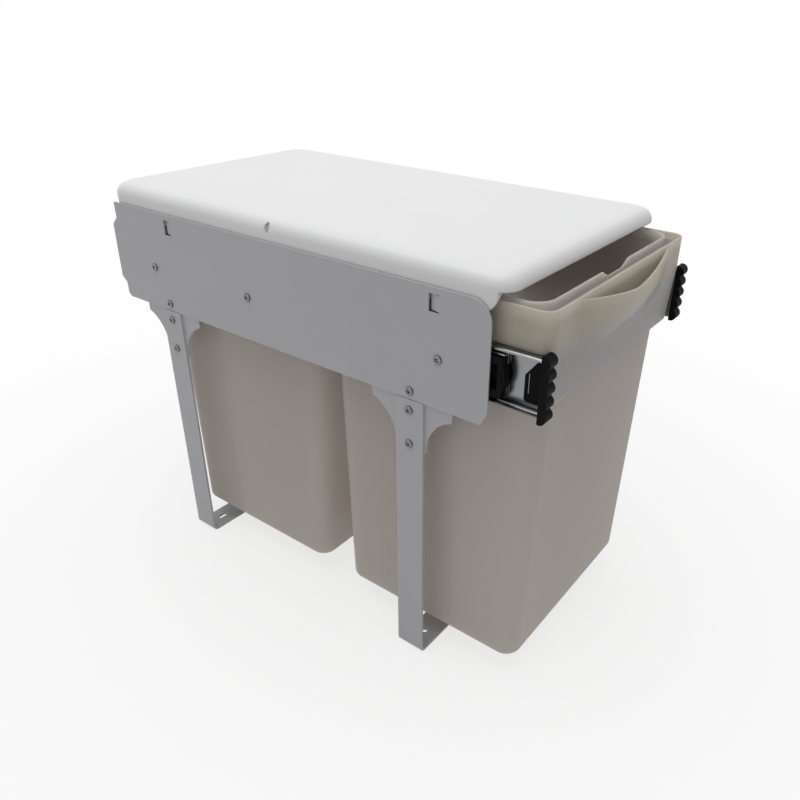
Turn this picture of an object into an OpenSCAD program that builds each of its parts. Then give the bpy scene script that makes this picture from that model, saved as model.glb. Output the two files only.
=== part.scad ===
// Pull-out twin bin unit: two side panels on bent strap legs carry a fixed lid and a pair of
// full-extension ball slides. The slides carry a moulded carrier with a finger-pocket front and
// two lift-out bins. The front is at -Y and the floor is Z = 0. The origin lies on the floor,
// midway between the two front floor holes. The carriage is drawn a little way out.

/* [Frame] */
// Overall width over the side panels
frame_w = 285; // [275:1:300]
// Length of a side panel, front to back
panel_len = 480; // [470:1:500]
// Front edge of the panel, ahead of the front legs
panel_front = 78; // [74:1:84]
// Height of the panel's lower edge above the floor
panel_z = 292; // [286:1:296]
// Height of a side panel
panel_h = 106; // [102:1:112]
// Sheet thickness of the side panels
panel_t = 1.5; // [1.2:0.1:1.8]
// Radius of the panel's upper front corner
panel_r = 19; // [10:1:26]
// How far the rear tab stands out behind the panel
tab_out = 10; // [4:1:14]

/* [Legs] */
// Distance between the front and the rear legs
leg_pitch = 328; // [310:1:340]
// Width of the leg strap
leg_w = 30; // [24:1:33]
// Thickness of the leg strap
leg_t = 2.5; // [2:0.1:3]
// Inside radius of the bend between leg and foot
leg_bend = 4; // [2:0.5:8]
// Distance of the floor holes from the middle of the unit
foot_hole_x = 118; // [108:1:124]
// Diameter of the round floor holes, and the width of the slotted ones
foot_hole_d = 5.5; // [4.5:0.1:6.5]
// End-to-end length of the slotted floor holes
foot_slot = 12; // [9:0.5:16]
// Sheet thickness of the gusset plates
gusset_t = 2; // [1.5:0.1:2.4]
// Width of a gusset plate at the panel
gusset_w = 87; // [80:1:96]
// Width of the gusset's stem behind the leg
gusset_stem = 34; // [33.5:0.5:38]

/* [Slides] */
// Height of the slide's middle above the panel's lower edge
slide_up = 45.5; // [44.5:0.5:47]
// Length of each slide member
rail_len = 450; // [430:5:460]
// Height of the outer slide channel
rail_h = 50; // [49:0.5:51]
// Depth of the closed slide, from panel to carrier
rail_d = 12.7; // [12.5:0.1:13]
// Sheet thickness of the outer channel
rail_t = 1.4; // [1.2:0.1:1.5]
// Sheet thickness of the middle and the fixed channel
rail_t2 = 1.2; // [1:0.1:1.2]
// Diameter of the balls
ball_d = 4.4; // [4.2:0.1:4.5]
// Number of balls in each row
ball_n = 9; // [5:1:9]
// Distance from ball to ball
ball_pitch = 20; // [18:0.5:21]
// Distance that the carriage is drawn out in the model
drawn_out = 36; // [20:1:40]

/* [Carrier] */
// Space between the collar and each side panel
collar_play = 9; // [8:0.5:11]
// How far the collar's top edge lies below the panel's
collar_drop = 1; // [0:0.5:3]
// Wall thickness of the carrier
carrier_t = 2.2; // [1.8:0.1:2.4]
// Corner radius of the collar
carrier_r = 12; // [8:1:18]
// Width of the finger pocket
pocket_w = 186; // [140:1:200]
// How far the finger pocket bulges forward
pocket_out = 12; // [6:0.5:14]
// How far the pocket's edge dips in the middle
pocket_dip = 13.5; // [6:0.5:16]
// Diameter of the lobes on the buffer at the end of each slide
lobe_d = 11.4; // [11:0.1:12]

/* [Bins] */
// Space between a bin and the slide on each side
bin_play = 7.8; // [7.4:0.2:12]
// Outside depth of a bin under its rim, front to back
bin_d = 234; // [228:1:236]
// Height of the bins' underside above the floor
bin_z = 24; // [18:1:60]
// Taper of the bin's sides from top to bottom
taper_w = 2.6; // [1:0.2:10]
// Taper of the bin's front and back from top to bottom
taper_d = 11.2; // [4:0.2:14]
// Wall thickness of the bins
bin_t = 2.2; // [1.6:0.1:3]
// How far the bins' top edges stand above the collar
bin_rise = 1; // [0:0.5:2.5]
// Corner radius of the bins at the top
bin_r = 24; // [18:1:32]
// Corner radius of the bins at the bottom
bin_foot_r = 17; // [12:1:24]
// Depth of the finger notch in the bin's rim
notch_h = 10; // [5:0.5:10]
// Width of the finger notch at the top
notch_w = 51; // [40:1:70]

/* [Lid] */
// Length of the lid, front to back
lid_len = 500; // [485:1:520]
// Height of the lid's top above the side panels
lid_rise = 20.5; // [19:0.5:26]
// Wall thickness of the lid
lid_t = 2.4; // [1.8:0.1:3]
// Radius of the lid's rolled edges
lid_r = 13; // [8:0.5:14]
// Radius of the lid's corners seen from above
lid_corner_r = 19; // [15:1:30]
// Depth of the lid's front and rear edge below its top
lid_edge = 14.1; // [13:0.1:16]

/* [Fasteners] */
// Diameter of the screw heads
head_d = 8; // [7:0.5:9]
// Height of the domed screw heads
head_h = 2.4; // [1.8:0.1:3]
// Diameter of the screw shanks
shank_d = 4; // [3:0.1:4.2]

/* [Clearances] */
// Play between flat neighbours that move or lift apart
gap = 0.3; // [0.2:0.05:0.5]
// Play round a screw in its hole
hole_gap = 0.15; // [0.1:0.05:0.3]
// Play between a ball and its races
ball_gap = 0.12; // [0.08:0.01:0.16]

/* [Hidden] */
$fn = 48;
eps = 0.01;

// Side panels
half_w = frame_w / 2;
panel_in = half_w - panel_t;
panel_y0 = -panel_front;
panel_y1 = panel_len - panel_front;
panel_top = panel_z + panel_h;
panel_step = 3;
tab_z0 = panel_z + 16;
tab_z1 = tab_z0 + 65;
lance_w = 11;
lance_h = 13.5;
lance_top = panel_top - 6.5;
lance_cut = 1;
lance_turn = 14;
lance_front_y = -31;
lance_rear_y = 306;
chamfer_w = 6;
chamfer_h = 12;

// Legs and gusset plates
leg_top = panel_z - gap;
leg_out = panel_in + leg_t;
gusset_lap = 16;
gusset_drop = 52;
gusset_bevel = 3;
leg_screw_drop = [10.3, 44];
leg_screw_z = [for (d = leg_screw_drop) panel_z - d];
gusset_screw_up = 8;
gusset_screw_z = panel_z + gusset_screw_up;
screw_past = 1;

// Slide cross-section: u runs from the panel towards the carrier, v up from the slide's middle
slide_z = panel_z + slide_up;
ball_r = ball_d / 2;
race_r = ball_r + ball_gap;
ball_u = 5.6;
outer_ball_v = rail_h / 2 - rail_t - race_r;
middle_v = outer_ball_v - race_r - rail_t2;
inner_ball_v = middle_v - race_r;
fixed_v = inner_ball_v - race_r - rail_t2;
web_gap = 1.1;
middle_u = rail_d - rail_t - web_gap - rail_t2;
cage_t = 0.8;
cage_half = 3.1;
cage_web_t = 0.5;
cage_len = (ball_n - 1) * ball_pitch + 30;

// Slide members along Y. The middle member runs at half the carriage's travel.
moving_y0 = panel_y0 - 7 - drawn_out;
middle_y0 = panel_y0 + 8 - drawn_out / 2;
plug_len = 18;
plug_stop = 0.5;
fixed_y0 = middle_y0 + drawn_out / 2 + plug_len + plug_stop;
inner_cage_y = fixed_y0 + 121 - drawn_out / 4;
outer_cage_y = fixed_y0 + 105 - drawn_out * 3 / 4;
screw_hole = shank_d + 2 * hole_gap;
runner_ends = [22.5, 53.5];
runner_mid = 250.5;
runner_ys = [fixed_y0 + runner_ends[0], fixed_y0 + runner_mid, fixed_y0 + rail_len - runner_ends[1]];
buffer_len = 8;

// Buffer at the front end of each slide
lobe_n = 5;
lobe_pitch = 11.4;
lobe_out = 7.4;
tongue_t = 0.7;
tongue_len = 18;
tongue_h = 36;

// Carrier
carrier_y0 = moving_y0 - 2;
wall_in = panel_in - rail_d;
carrier_w = 2 * (panel_in - collar_play);
carrier_top = panel_top - collar_drop;
bin_top = carrier_top + bin_rise;
bin_h = bin_top - bin_z;
bin_w = 2 * (wall_in - bin_play);
rail_top = slide_z + rail_h / 2;
rail_bottom = slide_z - rail_h / 2;
collar_z = rail_top + gap;
collar_in = carrier_w / 2 - carrier_t;
flange_side = collar_in - bin_w / 2 - 0.8;
flange_end = 4;
end_gap = 0.3;
shelf_z = bin_top - notch_h;
shelf_t = 2;
bin_gap = 1.3;
bin_front_y = carrier_y0 + carrier_t + end_gap + flange_end + bin_d / 2;
bin_pitch = bin_d + 15;
bin_rear_y = bin_front_y + bin_pitch;
carrier_y1 = bin_rear_y + bin_d / 2 + flange_end + end_gap + carrier_t;
carrier_len = carrier_y1 - carrier_y0;
carrier_mid = (carrier_y0 + carrier_y1) / 2;
wing_z = rail_bottom;
wing_r = 9;
lean_in = 3.5;
pocket_floor = collar_z - 10.8;
pocket_wall = 2;
carrier_screw_end = 60;
carrier_screw_ys = [moving_y0 + carrier_screw_end, moving_y0 + rail_len / 2,
    moving_y0 + rail_len - carrier_screw_end];

// Bins
bin_floor_r = 7.5;

// Lid
lid_half = panel_in - 1.2;
lid_y0 = panel_y0 - 12;
lid_top = panel_top + lid_rise;
lid_edge_z = lid_top - lid_edge;
skirt_z = lance_top - 5.5;
skirt_inset = 10;
skirt_round = 16;
skirt_notch = 2;
lid_hole_y = 166;

paint = "#929395";
steel = "#c9cbcd";
cream = "#cfc8ba";
white = "#e9e9ea";
black = "#121012";

// Left and right pieces are mirror images.
module on_side(side) {
    if (side == "left") children();
    else mirror([1, 0, 0]) children();
}

// Places a slide piece: x is u, y is v, and z runs forward-to-back along Y.
module in_slide(y0) {
    translate([-panel_in, y0, slide_z]) rotate([-90, 0, 0]) mirror([0, 1, 0]) children();
}

// A rectangle with round corners about the origin
module round_rect(w, d, r) {
    square([w - 2 * r, d], center = true);
    square([w, d - 2 * r], center = true);
    for (x = [-1, 1], y = [-1, 1])
        translate([x * (w / 2 - r), y * (d / 2 - r)]) circle(r = r);
}

// A screw along -X with a domed head at x = 0 and its shank running to +X
module pan_screw(shank_len) {
    dome_r = (pow(head_d / 2, 2) + pow(head_h, 2)) / (2 * head_h);
    rotate([0, -90, 0]) rotate_extrude($fn = 32) intersection() {
        translate([0, head_h - dome_r]) circle(r = dome_r, $fn = 64);
        square([head_d / 2, head_h]);
    }
    rotate([0, 90, 0]) cylinder(d = shank_d, h = shank_len, $fn = 24);
}

// Side panels

// The panel's outline in (y, z), with a round upper front corner and a stepped rear tab
module panel_outline() {
    difference() {
        polygon([
            [panel_y0 + chamfer_w, panel_z],
            [panel_y0, panel_z + chamfer_h],
            [panel_y0, panel_top],
            [panel_y1, panel_top],
            [panel_y1, tab_z1 + tab_out * 0.8],
            [panel_y1 + tab_out * 0.85, tab_z1],
            [panel_y1 + tab_out, tab_z0 + 6],
            [panel_y1 + panel_step, tab_z0],
            [panel_y1 + panel_step, panel_z + 4],
            [panel_y1 + panel_step - 4, panel_z]
        ]);
        translate([panel_y0, panel_top]) difference() {
            translate([-1, -panel_r]) square([panel_r + 1, panel_r + 1]);
            translate([panel_r, -panel_r]) circle(r = panel_r, $fn = 96);
        }
    }
}

// A tongue cut free on three sides and pressed inwards, which the lid's skirt rests on
module lance(y) {
    translate([-panel_in, y, lance_top - lance_h]) rotate([0, 0, -lance_turn])
        translate([-panel_t, 0, 0]) cube([panel_t, lance_w, lance_h]);
}

module lance_slot(y) {
    translate([-half_w - 1, y + panel_t, lance_top - lance_h - lance_cut])
        cube([panel_t + 2, lance_w + lance_cut - panel_t, lance_h + 2 * lance_cut]);
}

module side_panel(side) {
    color(paint) on_side(side) {
        difference() {
            translate([-half_w, 0, 0]) rotate([90, 0, 90]) linear_extrude(panel_t) panel_outline();
            for (y = [lance_front_y, lance_rear_y]) lance_slot(y);
            for (y = runner_ys) translate([-half_w - 1, y, slide_z]) rotate([0, 90, 0])
                cylinder(d = screw_hole, h = panel_t + 2);
            for (y = [0, leg_pitch]) translate([-half_w - 1, y, gusset_screw_z]) rotate([0, 90, 0])
                cylinder(d = screw_hole, h = panel_t + 2);
        }
        for (y = [lance_front_y, lance_rear_y]) lance(y);
    }
}

// Legs

// One strap bent into a hoop: up one side, across the floor, and up the other
module hoop_outline() {
    out_r = leg_bend + leg_t;
    difference() {
        translate([-leg_out, 0]) square([2 * leg_out, leg_top]);
        translate([-leg_out + leg_t, leg_t]) square([2 * (leg_out - leg_t), leg_top]);
        for (s = [-1, 1]) translate([s * (leg_out - out_r), out_r]) difference() {
            translate([s > 0 ? 0 : -out_r - 1, -out_r - 1]) square(out_r + 1);
            circle(r = out_r);
        }
    }
    for (s = [-1, 1]) translate([s * (leg_out - leg_t - leg_bend), leg_t + leg_bend]) difference() {
        translate([s > 0 ? 0 : -leg_bend, -leg_bend]) square(leg_bend);
        circle(r = leg_bend);
    }
}

module leg_hoop(y, slotted) {
    slot = slotted ? foot_slot - foot_hole_d : 0;
    color(paint) difference() {
        translate([0, y + leg_w / 2, 0]) rotate([90, 0, 0]) linear_extrude(leg_w) hoop_outline();
        for (s = [-1, 1]) {
            for (dx = slotted ? [-slot / 2, slot / 2] : [0])
                translate([s * foot_hole_x + dx, y, -1]) cylinder(d = foot_hole_d, h = leg_t + 2);
            if (slotted) translate([s * foot_hole_x - slot / 2, y - foot_hole_d / 2, -1])
                cube([slot, foot_hole_d, leg_t + 2]);
        }
        for (z = leg_screw_z) translate([-leg_out - 1, y, z]) rotate([0, 90, 0])
            cylinder(d = screw_hole, h = 2 * leg_out + 2);
    }
}

// Half of the gusset's outline: wide at the panel, then a round cove in to the stem
module gusset_outline() {
    stem_z = panel_z - gusset_drop;
    cove_r = 38;
    difference() {
        translate([-gusset_w / 2, stem_z]) square([gusset_w, gusset_drop + gusset_lap]);
        for (s = [-1, 1]) {
            translate([s * (gusset_stem / 2 + cove_r), stem_z + 6]) circle(r = cove_r, $fn = 96);
            translate([s > 0 ? gusset_stem / 2 : -gusset_w, stem_z - 1])
                square([gusset_w - gusset_stem / 2, 7]);
            translate([s * gusset_stem / 2, stem_z]) rotate(45)
                square(gusset_bevel * sqrt(2), center = true);
            translate([s * gusset_w / 2, panel_z + gusset_lap]) rotate(45)
                square(12, center = true);
        }
    }
}

module gusset(side, y) {
    color(paint) on_side(side) difference() {
        translate([-panel_in, y, 0]) rotate([90, 0, 90]) linear_extrude(gusset_t) gusset_outline();
        for (z = concat(leg_screw_z, [gusset_screw_z])) translate([-panel_in - 1, y, z])
            rotate([0, 90, 0]) cylinder(d = screw_hole, h = gusset_t + 2);
    }
}

module leg_screws() {
    color(steel) for (side = ["left", "right"], y = [0, leg_pitch], z = leg_screw_z)
        on_side(side) translate([-leg_out, y, z]) pan_screw(leg_t + gusset_t + screw_past);
}

module gusset_screws() {
    color(steel) for (side = ["left", "right"], y = [0, leg_pitch])
        on_side(side) translate([-half_w, y, gusset_screw_z]) pan_screw(panel_t + gusset_t + screw_past);
}

module runner_screws() {
    color(steel) for (side = ["left", "right"], y = runner_ys)
        on_side(side) translate([-half_w, y, slide_z]) pan_screw(panel_t + rail_t2 + screw_past);
}

// Slides

// A race that cups a ball: an arc of sheet about the ball's middle, facing up or down
module race(u, v, up, thick, spread) {
    reach = 2 * (race_r + thick);
    translate([u, v]) intersection() {
        difference() {
            circle(r = race_r + thick);
            circle(r = race_r);
        }
        polygon([[0, 0], for (a = [-spread, 0, spread]) [reach * sin(a), up * reach * cos(a)]]);
    }
}

module moving_profile() {
    translate([rail_d - rail_t, -rail_h / 2]) square([rail_t, rail_h]);
    for (s = [-1, 1]) {
        race(ball_u, s * outer_ball_v, s, rail_t, 68);
        translate([ball_u, s > 0 ? rail_h / 2 - rail_t : -rail_h / 2])
            square([rail_d - ball_u - rail_t / 2, rail_t]);
    }
}

module middle_profile() {
    translate([middle_u, -middle_v - rail_t2]) square([rail_t2, 2 * (middle_v + rail_t2)]);
    for (s = [-1, 1]) {
        race(ball_u, s * outer_ball_v, -s, rail_t2, 48);
        translate([ball_u, s > 0 ? middle_v : -middle_v - rail_t2])
            square([middle_u - ball_u + rail_t2 / 2, rail_t2]);
    }
}

module fixed_profile() {
    translate([0, -fixed_v - rail_t2]) square([rail_t2, 2 * (fixed_v + rail_t2)]);
    for (s = [-1, 1]) {
        race(ball_u, s * inner_ball_v, -s, rail_t2, 38);
        translate([rail_t2 / 2, s > 0 ? fixed_v : -fixed_v - rail_t2])
            square([ball_u - rail_t2 / 2, rail_t2]);
    }
}

module fixed_rail(side) {
    color(steel) on_side(side) difference() {
        in_slide(fixed_y0) linear_extrude(rail_len) fixed_profile();
        for (y = runner_ys) translate([-half_w, y, slide_z]) rotate([0, 90, 0])
            cylinder(d = screw_hole, h = panel_t + rail_t2 + 1);
    }
}

module middle_rail(side) {
    color(steel) on_side(side) in_slide(middle_y0) linear_extrude(rail_len) middle_profile();
}

module moving_rail(side) {
    color(steel) on_side(side) difference() {
        in_slide(moving_y0) linear_extrude(rail_len) moving_profile();
        for (y = carrier_screw_ys) translate([-wall_in - rail_t - 1, y, slide_z]) rotate([0, 90, 0])
            cylinder(d = screw_hole, h = rail_t + 2);
    }
}

// Soft block at the back of the fixed channel, which stops the middle one
module rear_buffer(side) {
    color(black) on_side(side) in_slide(middle_y0 + drawn_out / 2 + rail_len + gap)
        translate([rail_t2, 0, 0]) linear_extrude(buffer_len) difference() {
            translate([0, -7]) square([rail_d - rail_t - rail_t2 - gap, 14]);
            translate([5, 0]) circle(r = 2.4);
        }
}

// Plastic end piece of the middle channel, with a window and a curved lip
module middle_plug(side) {
    inner = middle_v - gap;
    lip_t = 2;
    bow = 26;
    color(black) on_side(side) in_slide(middle_y0) {
        difference() {
            translate([0.8, -inner, 0]) cube([middle_u - 0.8 - gap, 2 * inner, plug_len]);
            translate([-1, -11, 4]) cube([middle_u + 2, 22, 9]);
        }
        // Bowed lip in front of the channel's end
        translate([0.8, 0, bow - lip_t - 0.6]) rotate([0, 90, 0]) intersection() {
            difference() {
                cylinder(r = bow, h = middle_u - 1);
                translate([0, 0, -1]) cylinder(r = bow - lip_t, h = middle_u + 1);
            }
            translate([0, -inner, 0]) cube([bow, 2 * inner, middle_u - 1]);
        }
    }
}

function ball_z(i) = (cage_len - (ball_n - 1) * ball_pitch) / 2 + i * ball_pitch;

// Strips that hold the balls apart, above and below
module cage_strips(v) {
    for (s = [-1, 1]) difference() {
        translate([ball_u - cage_half, s * v - cage_t / 2, 0]) cube([2 * cage_half, cage_t, cage_len]);
        for (i = [0 : ball_n - 1]) translate([ball_u, s * v - 2, ball_z(i)]) rotate([-90, 0, 0])
            cylinder(r = ball_r + ball_gap, h = 4);
    }
}

module inner_cage(side) {
    web_u = ball_u + cage_half - cage_web_t;
    color(steel) on_side(side) in_slide(inner_cage_y) {
        cage_strips(inner_ball_v);
        difference() {
            translate([web_u, -inner_ball_v, 0]) cube([cage_web_t, 2 * inner_ball_v, cage_len]);
            for (z = [35 : 50 : cage_len - 35]) translate([web_u - 1, 0, z]) rotate([0, 90, 0])
                cylinder(r = 7, h = cage_web_t + 2);
        }
    }
}

module outer_cage(side) {
    color(steel) on_side(side) in_slide(outer_cage_y) cage_strips(outer_ball_v);
}

module balls(side, y0, v) {
    color(steel) on_side(side) in_slide(y0) for (s = [-1, 1], i = [0 : ball_n - 1])
        translate([ball_u, s * v, ball_z(i)]) sphere(r = ball_r, $fn = 24);
}

// Lobed buffer on the front end of the moving channel, with a tongue that lies on its web
module end_buffer(side) {
    depth = rail_d - 0.6;
    top = (lobe_n - 1) / 2 * lobe_pitch;
    color(black) on_side(side) in_slide(moving_y0) {
        translate([rail_d - depth, 0, 0]) rotate([90, 0, 90]) linear_extrude(depth)
            intersection() {
                union() {
                    for (i = [0 : lobe_n - 1]) translate([-top + i * lobe_pitch, lobe_d / 2 - lobe_out])
                        circle(d = lobe_d);
                    translate([-top, lobe_d / 4 - lobe_out]) square([2 * top, lobe_out]);
                }
                translate([-top - lobe_d, -lobe_out - 1]) square([2 * (top + lobe_d), lobe_out + 1]);
            }
        translate([rail_d - rail_t - tongue_t, 0, -eps]) rotate([90, 0, 90])
            linear_extrude(tongue_t) difference() {
                polygon([
                    [-tongue_h / 2, 0], [tongue_h / 2, 0],
                    [tongue_h / 2, tongue_len - 10], [tongue_h / 2 - 13, tongue_len],
                    [-tongue_h / 2 + 2, tongue_len], [-tongue_h / 2, tongue_len - 2]
                ]);
                translate([-11, tongue_len - 4]) square([18, 1.2]);
            }
    }
}

// Carrier

// The skirt under the collar: side walls on the slides and a front wall that leans in to the bin
module skirt_slice(z, t) {
    y0 = carrier_y0 + wall_lean(z) + t;
    translate([0, (y0 + carrier_y1) / 2, z]) linear_extrude(eps)
        round_rect(2 * (wall_in - t), carrier_y1 - y0, wing_r - min(t, wing_r - 1), $fn = 32);
}

module skirt() {
    difference() {
        hull() {
            skirt_slice(collar_z, 0);
            skirt_slice(wing_z, 0);
        }
        hull() {
            skirt_slice(collar_z + 1, carrier_t);
            skirt_slice(wing_z - 1, carrier_t);
        }
        translate([-wall_in - 1, carrier_y1 - carrier_r, wing_z - 1])
            cube([2 * wall_in + 2, carrier_r + 1, collar_z - wing_z + 2]);
    }
}

// Shape of the pocket: both are 0 at its ends and 1 in its middle
function swell(x) = pow(cos(min(90, 90 * abs(x) / (pocket_w / 2))), 1.15);
function sag(x) = 1 - pow(min(1, abs(x) / (pocket_w / 2)), 2.6);
function fade(t) = t * t * (3 - 2 * t);
function pocket_edge_z(x) = carrier_top - pocket_dip * sag(x);
function wall_lean(z) = z > collar_z ? 0 : lean_in * (collar_z - z) / (collar_z - wing_z);
function pocket_point(x, k, out) =
    let (z = pocket_floor + (pocket_edge_z(x) - pocket_floor) * k)
    [x, carrier_y0 + wall_lean(z) - out - pocket_out * swell(x) * fade(min(1, k * 1.6)), z];

// The pocket's outer skin, a curved sheet that swells out of the front wall
module pocket_skin() {
    nx = 32;
    nk = 8;
    front = [for (i = [0 : nx], j = [0 : nk])
        pocket_point(-pocket_w / 2 + pocket_w * i / nx, j / nk, 0)];
    back = [for (p = front) p + [0, pocket_wall, 0]];
    count = (nx + 1) * (nk + 1);
    at = function(i, j) i * (nk + 1) + j;
    skin = [for (i = [0 : nx - 1], j = [0 : nk - 1])
        [at(i, j), at(i, j + 1), at(i + 1, j + 1), at(i + 1, j)]];
    rim = concat(
        [for (i = [0 : nx]) at(i, nk)],
        [for (j = [nk - 1 : -1 : 0]) at(nx, j)],
        [for (i = [nx - 1 : -1 : 0]) at(i, 0)],
        [for (j = [1 : nk - 1]) at(0, j)]
    );
    last = len(rim) - 1;
    edges = [for (n = [0 : last]) let (a = rim[n], b = rim[n < last ? n + 1 : 0])
        [a, a + count, b + count, b]];
    inner = [for (f = skin) [f[3] + count, f[2] + count, f[1] + count, f[0] + count]];
    polyhedron(points = concat(front, back), faces = concat(skin, inner, edges));
}

// A ring of the collar's outline, from z0 up by h, with its inside cut back by t
module collar_ring(z0, h, t) {
    translate([0, carrier_mid, z0]) linear_extrude(h) difference() {
        round_rect(carrier_w, carrier_len, carrier_r);
        round_rect(carrier_w - 2 * t, carrier_len - 2 * t, carrier_r - min(t, carrier_r - 2));
    }
}

module bin_carrier() {
    color(cream) difference() {
        union() {
            collar_ring(collar_z, carrier_top - collar_z, carrier_t);
            // Shelf that the bins' flanges rest on, with a bar between the bins
            translate([0, carrier_mid, shelf_z - shelf_t]) linear_extrude(shelf_t)
                round_rect(carrier_w - carrier_t, carrier_len - carrier_t, carrier_r);
            translate([-collar_in, (bin_front_y + bin_rear_y) / 2 - carrier_t / 2, collar_z])
                cube([2 * collar_in, carrier_t, shelf_z - collar_z - eps]);
            // The step out over the slides, from the skirt to the collar
            difference() {
                translate([0, carrier_mid, collar_z]) linear_extrude(carrier_t)
                    round_rect(carrier_w - 1, carrier_len - 1, carrier_r - 0.5);
                translate([0, carrier_mid, collar_z - 1]) linear_extrude(carrier_t + 2)
                    round_rect(2 * (wall_in - carrier_t), carrier_len - 2 * carrier_t, wing_r - carrier_t);
            }
            skirt();
            pocket_skin();
        }
        for (y = [bin_front_y, bin_rear_y]) translate([0, y, shelf_z - shelf_t - 1])
            linear_extrude(shelf_t + 2)
                round_rect(bin_w + 2 * bin_gap, bin_d + 2 * bin_gap, bin_r + bin_gap);
        for (s = [-1, 1], y = carrier_screw_ys) translate([s * wall_in - 4, y, slide_z])
            rotate([0, 90, 0]) cylinder(d = screw_hole, h = 8);
    }
}

module carrier_screws() {
    color(steel) for (side = ["left", "right"], y = carrier_screw_ys)
        on_side(side) translate([-wall_in + carrier_t, y, slide_z]) mirror([1, 0, 0])
            pan_screw(carrier_t + rail_t);
}

// Bins

// One slice of the bin's tapered body at height z, grown inwards by t and then by inset
module bin_slice(z, t, inset = 0) {
    k = (bin_top - z) / bin_h;
    translate([0, 0, z]) linear_extrude(eps) round_rect(
        bin_w - 2 * (taper_w * k + t + inset), bin_d - 2 * (taper_d * k + t + inset),
        bin_r - (bin_r - bin_foot_r) * k - t - inset, $fn = 32);
}

module bin_body(t, z0) {
    hull() {
        bin_slice(bin_top - eps, t);
        for (a = [0, 45, 90])
            bin_slice(z0 + bin_floor_r * (1 - sin(a)), t, bin_floor_r * (1 - cos(a)));
    }
}

module bin(y) {
    notch_foot = notch_w * 0.45;
    color(cream) translate([0, y, 0]) difference() {
        union() {
            bin_body(0, bin_z);
            translate([0, 0, shelf_z + gap]) linear_extrude(2)
                round_rect(bin_w + 2 * flange_side, bin_d + 2 * flange_end, bin_r + flange_end - 13);
        }
        bin_body(bin_t, bin_z + bin_t);
        translate([0, 0, bin_top - 1]) linear_extrude(2)
            round_rect(bin_w - 2 * bin_t, bin_d - 2 * bin_t, bin_r - bin_t);
        translate([0, -bin_d / 2 + 8, 0]) rotate([90, 0, 0]) linear_extrude(12) polygon([
            [-notch_w / 2, bin_top + 1], [-notch_foot / 2, shelf_z + gap + 2],
            [notch_foot / 2, shelf_z + gap + 2], [notch_w / 2, bin_top + 1]
        ]);
    }
}

// Lid

// The lid's outer body, grown inwards by t: a tray upside down, with rolled edges and round corners
module lid_body(t) {
    r = lid_r - t;
    x = lid_half - lid_corner_r;
    y = lid_len / 2 - lid_corner_r;
    z = lid_top - lid_r;
    translate([0, lid_y0 + lid_len / 2, 0]) {
        translate([0, 0, skirt_z]) linear_extrude(z - skirt_z + eps)
            round_rect(2 * (lid_half - t), lid_len - 2 * t, lid_corner_r - t);
        translate([0, 0, z - 1]) linear_extrude(r + 1)
            round_rect(2 * (lid_half - lid_r), lid_len - 2 * lid_r, lid_corner_r - lid_r);
        for (cx = [-x, x], cy = [-y, y]) translate([cx, cy, z]) rotate_extrude() {
            square([lid_corner_r - lid_r, r]);
            translate([lid_corner_r - lid_r, 0]) intersection() {
                circle(r = r);
                square(r);
            }
        }
        for (cx = [-1, 1]) translate([cx * (lid_half - lid_r), -y, z]) rotate([-90, 0, 0])
            cylinder(r = r, h = 2 * y);
        for (cy = [-1, 1]) translate([-x, cy * (lid_len / 2 - lid_r), z]) rotate([0, 90, 0])
            cylinder(r = r, h = 2 * x);
    }
}

// What the front and the rear edge leave out of the skirt, seen from the side: a round-cornered step
module skirt_cut() {
    y = skirt_inset + skirt_round;
    polygon([
        [-1, skirt_z - 1], [y, skirt_z - 1],
        for (a = [0 : 10 : 90]) [y - skirt_round * sin(a), skirt_z + skirt_round * (1 - cos(a))],
        [skirt_inset, lid_edge_z], [-1, lid_edge_z]
    ]);
}

module lid() {
    color(white) difference() {
        lid_body(0);
        translate([0, 0, -eps]) lid_body(lid_t);
        // Notches in the side skirts, which sit on the panels' pressed tongues
        for (y = [lance_front_y, lance_rear_y])
            translate([-half_w, y - skirt_notch, skirt_z - 1])
                cube([2 * half_w, lance_w + 2 * skirt_notch, lance_top + gap - skirt_z + 1]);
        // Front and rear edges stop higher than the side skirts
        for (m = [0, 1]) translate([-half_w, lid_y0 + m * lid_len, 0]) mirror([0, m, 0])
            rotate([90, 0, 90]) linear_extrude(2 * half_w) skirt_cut();
        translate([-lid_half - 1, lid_hole_y, lid_top - lid_r * 0.62]) rotate([0, 60, 0])
            scale([1, 1.6, 1]) cylinder(r = 2.6, h = 6);
    }
}

side_panel("left");  // side_panel_left
side_panel("right");  // side_panel_right
leg_hoop(0, false);  // front_leg_hoop
leg_hoop(leg_pitch, true);  // rear_leg_hoop
gusset("left", 0);  // front_left_gusset
gusset("right", 0);  // front_right_gusset
gusset("left", leg_pitch);  // rear_left_gusset
gusset("right", leg_pitch);  // rear_right_gusset
leg_screws();
gusset_screws();
runner_screws();
fixed_rail("left");  // fixed_rail_left
fixed_rail("right");  // fixed_rail_right
rear_buffer("left");  // rear_buffer_left
rear_buffer("right");  // rear_buffer_right
middle_rail("left");  // middle_rail_left
middle_rail("right");  // middle_rail_right
middle_plug("left");  // middle_plug_left
middle_plug("right");  // middle_plug_right
inner_cage("left");  // inner_cage_left
inner_cage("right");  // inner_cage_right
outer_cage("left");  // outer_cage_left
outer_cage("right");  // outer_cage_right
balls("left", inner_cage_y, inner_ball_v);  // inner_balls_left
balls("right", inner_cage_y, inner_ball_v);  // inner_balls_right
balls("left", outer_cage_y, outer_ball_v);  // outer_balls_left
balls("right", outer_cage_y, outer_ball_v);  // outer_balls_right
moving_rail("left");  // moving_rail_left
moving_rail("right");  // moving_rail_right
end_buffer("left");  // end_buffer_left
end_buffer("right");  // end_buffer_right
bin_carrier();
carrier_screws();
bin(bin_front_y);  // front_bin
bin(bin_rear_y);  // rear_bin
lid();
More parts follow.
